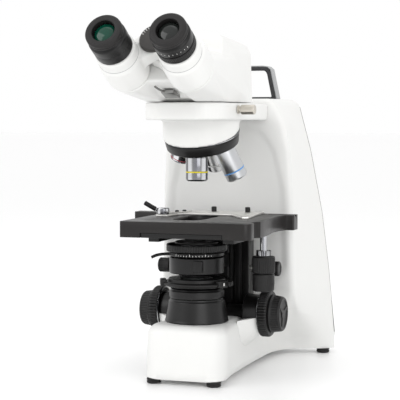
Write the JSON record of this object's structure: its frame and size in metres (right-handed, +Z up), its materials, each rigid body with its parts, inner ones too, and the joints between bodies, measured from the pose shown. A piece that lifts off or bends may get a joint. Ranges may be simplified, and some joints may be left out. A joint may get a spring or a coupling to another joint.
{
  "type": "binocular microscope",
  "caption": "Upright white laboratory microscope with a tilted binocular tube, rotating nosepiece, mechanical stage, condenser and coaxial focus knobs.",
  "frame": {"origin": "middle of the bounding box on the floor", "axes": "+Z up, -Y towards the user at the eyepieces, +X to the user's right"},
  "size_m": [0.204, 0.4114, 0.3789],
  "materials": {
    "white_paint": "satin",
    "black_plastic": "satin",
    "black_paint": "satin",
    "charcoal": "matte",
    "stage_coat": "satin",
    "chrome": "polished",
    "steel": "brushed",
    "nickel": "knurled",
    "brass": "plain",
    "rubber": "matte",
    "glass": "clear",
    "aluminium": "plain"
  },
  "bodies": {
    "stand": {"base_housing": "white_paint", "base_plate": "charcoal", "foot_front_left": "rubber", "foot_front_right": "rubber", "foot_rear_left": "rubber", "foot_rear_right": "rubber", "limb_housing": "white_paint", "arm_housing": "white_paint", "rear_cover": "white_paint", "power_inlet": "black_plastic", "carry_handle": "charcoal", "light_collar": "black_paint", "field_lens": "glass", "lamp_module": "aluminium", "focus_housing": "black_paint", "guide_rail": "steel", "nosepiece_seat": "chrome"},
    "field_diaphragm": {"field_ring": "black_paint"},
    "power_rocker": {"power_switch": "black_plastic"},
    "brightness": {"brightness_knob": "black_plastic"},
    "tube_clamp": {"tube_lock_screw": "nickel"},
    "coarse_focus": {"coarse_shaft": "steel", "coarse_knob_left": "black_plastic", "coarse_knob_right": "black_plastic"},
    "fine_focus": {"fine_shaft": "steel", "fine_knob_left": "black_plastic", "fine_knob_right": "black_plastic"},
    "stage_carrier": {"carriage": "black_paint", "focus_rack": "brass", "stage_rail_plate": "black_paint"},
    "stage": {"stage_plate": "stage_coat", "drive_post": "chrome"},
    "specimen_slide": {"specimen_holder": "steel"},
    "slide_clamp": {"clamp_arm": "steel", "clamp_handle": "black_plastic"},
    "y_drive": {"y_drive_knob": "black_plastic"},
    "x_drive": {"x_drive_knob": "black_plastic"},
    "condenser": {"condenser_fork": "black_paint", "condenser_body": "black_paint", "condenser_lens": "glass"},
    "condenser_drive": {"height_shaft": "steel", "height_knob_left": "black_plastic", "height_knob_right": "black_plastic"},
    "iris": {"iris_ring": "black_paint"},
    "filter_swing": {"filter_holder": "black_plastic"},
    "nosepiece": {"turret": "black_paint", "objective_4x": "chrome", "objective_10x": "chrome", "objective_40x": "chrome", "objective_100x": "chrome"},
    "tube_head": {"binocular_body": "white_paint", "hub_dial": "charcoal"},
    "beam_selector": {"beam_lever": "chrome"},
    "left_tube": {"prism_arm_left": "white_paint", "eyepiece_left": "black_paint", "eyecup_left": "rubber"},
    "right_tube": {"prism_arm_right": "white_paint", "eyepiece_right": "black_paint", "eyecup_right": "rubber"},
    "dioptre": {"dioptre_ring": "black_plastic"}
  },
  "joints": [
    {"name": "field_diaphragm_turn", "type": "hinge", "parent": "stand", "child": "field_diaphragm", "pos_m": [0, -0.01958, 0.093], "axis": [0, 0, 1], "range_deg": [0, 80]},
    {"name": "power_rocker_tip", "type": "hinge", "parent": "stand", "child": "power_rocker", "pos_m": [-0.037, 0.06442, 0.0295], "axis": [0, 0, 1], "range_deg": [0, 10]},
    {"name": "brightness_turn", "type": "hinge", "parent": "stand", "child": "brightness", "pos_m": [-0.044, 0.00042, 0.03], "axis": [1, 0, 0], "range_deg": [0, 270]},
    {"name": "tube_clamp_turn", "type": "hinge", "parent": "stand", "child": "tube_clamp", "pos_m": [0.055, -0.01958, 0.2895], "axis": [1, 0, 0], "range_deg": [-360, 0]},
    {"name": "stage_lift", "type": "slide", "parent": "stand", "child": "stage_carrier", "axis": [0, 0, 1], "range_m": [0, 0.0245]},
    {"name": "coarse_turn", "type": "hinge", "parent": "stand", "child": "coarse_focus", "pos_m": [0, 0.03572, 0.0656], "axis": [1, 0, 0], "range_deg": [0, 235]},
    {"name": "fine_turn", "type": "hinge", "parent": "coarse_focus", "child": "fine_focus", "pos_m": [0, 0.03572, 0.0656], "axis": [1, 0, 0], "continuous": true},
    {"name": "stage_y", "type": "slide", "parent": "stage_carrier", "child": "stage", "axis": [0, 1, 0], "range_m": [-0.022, 0.01]},
    {"name": "specimen_x", "type": "slide", "parent": "stage", "child": "specimen_slide", "axis": [1, 0, 0], "range_m": [-0.037, 0.022]},
    {"name": "clamp_swing", "type": "hinge", "parent": "specimen_slide", "child": "slide_clamp", "pos_m": [-0.04, -0.01658, 0.178], "axis": [0, 0, 1], "range_deg": [0, 25], "stiffness_Nm_per_rad": 0.05, "springref_deg": -11.46},
    {"name": "y_drive_turn", "type": "hinge", "parent": "stage", "child": "y_drive", "pos_m": [0.072, -0.00958, 0.124], "axis": [0, 0, 1], "range_deg": [-265, 121]},
    {"name": "x_drive_turn", "type": "hinge", "parent": "stage", "child": "x_drive", "pos_m": [0.072, -0.00958, 0.105], "axis": [0, 0, 1], "range_deg": [-445, 265]},
    {"name": "condenser_height", "type": "slide", "parent": "stage_carrier", "child": "condenser", "axis": [0, 0, 1], "range_m": [0, 0.008]},
    {"name": "condenser_knob_turn", "type": "hinge", "parent": "stage_carrier", "child": "condenser_drive", "pos_m": [0, 0.05642, 0.113], "axis": [1, 0, 0], "range_deg": [0, 121]},
    {"name": "iris_turn", "type": "hinge", "parent": "condenser", "child": "iris", "pos_m": [0, -0.01958, 0.135], "axis": [0, 0, 1], "range_deg": [-35, 35]},
    {"name": "filter_swing_out", "type": "hinge", "parent": "condenser", "child": "filter_swing", "pos_m": [-0.027, 0.00742, 0.108], "axis": [0, 0, 1], "range_deg": [-60, 0]},
    {"name": "nosepiece_turn", "type": "hinge", "parent": "stand", "child": "nosepiece", "pos_m": [0, 0.00042, 0.2517], "axis": [0, 0.3502, -0.9367], "continuous": true},
    {"name": "head_turn", "type": "hinge", "parent": "stand", "child": "tube_head", "pos_m": [0, -0.01958, 0.3], "axis": [0, 0, 1], "range_deg": [-130, 130]},
    {"name": "beam_lever_turn", "type": "hinge", "parent": "tube_head", "child": "beam_selector", "pos_m": [0.001, -0.10358, 0.304], "axis": [0, 0.273, 0.962], "range_deg": [-20, 20]},
    {"name": "left_tube_swing", "type": "hinge", "parent": "tube_head", "child": "left_tube", "pos_m": [0, -0.14708, 0.359], "axis": [0, 0.866, -0.5], "range_deg": [-19, 17.5]},
    {"name": "right_tube_swing", "type": "hinge", "parent": "tube_head", "child": "right_tube", "pos_m": [0, -0.14708, 0.359], "axis": [0, 0.866, -0.5], "range_deg": [-17.5, 19]},
    {"name": "dioptre_turn", "type": "hinge", "parent": "right_tube", "child": "dioptre", "pos_m": [0.0327, -0.15753, 0.3409], "axis": [0, 0.866, -0.5], "range_deg": [-90, 90]}
  ],
  "couplings": [
    {"joint": "coarse_turn", "follows": "stage_lift", "rad_per_m": 166.67},
    {"joint": "y_drive_turn", "follows": "stage_y", "rad_per_m": 209.44},
    {"joint": "x_drive_turn", "follows": "specimen_x", "rad_per_m": 209.44},
    {"joint": "condenser_knob_turn", "follows": "condenser_height", "rad_per_m": 261.8},
    {"joint": "right_tube_swing", "follows": "left_tube_swing", "ratio": -1}
  ]
}
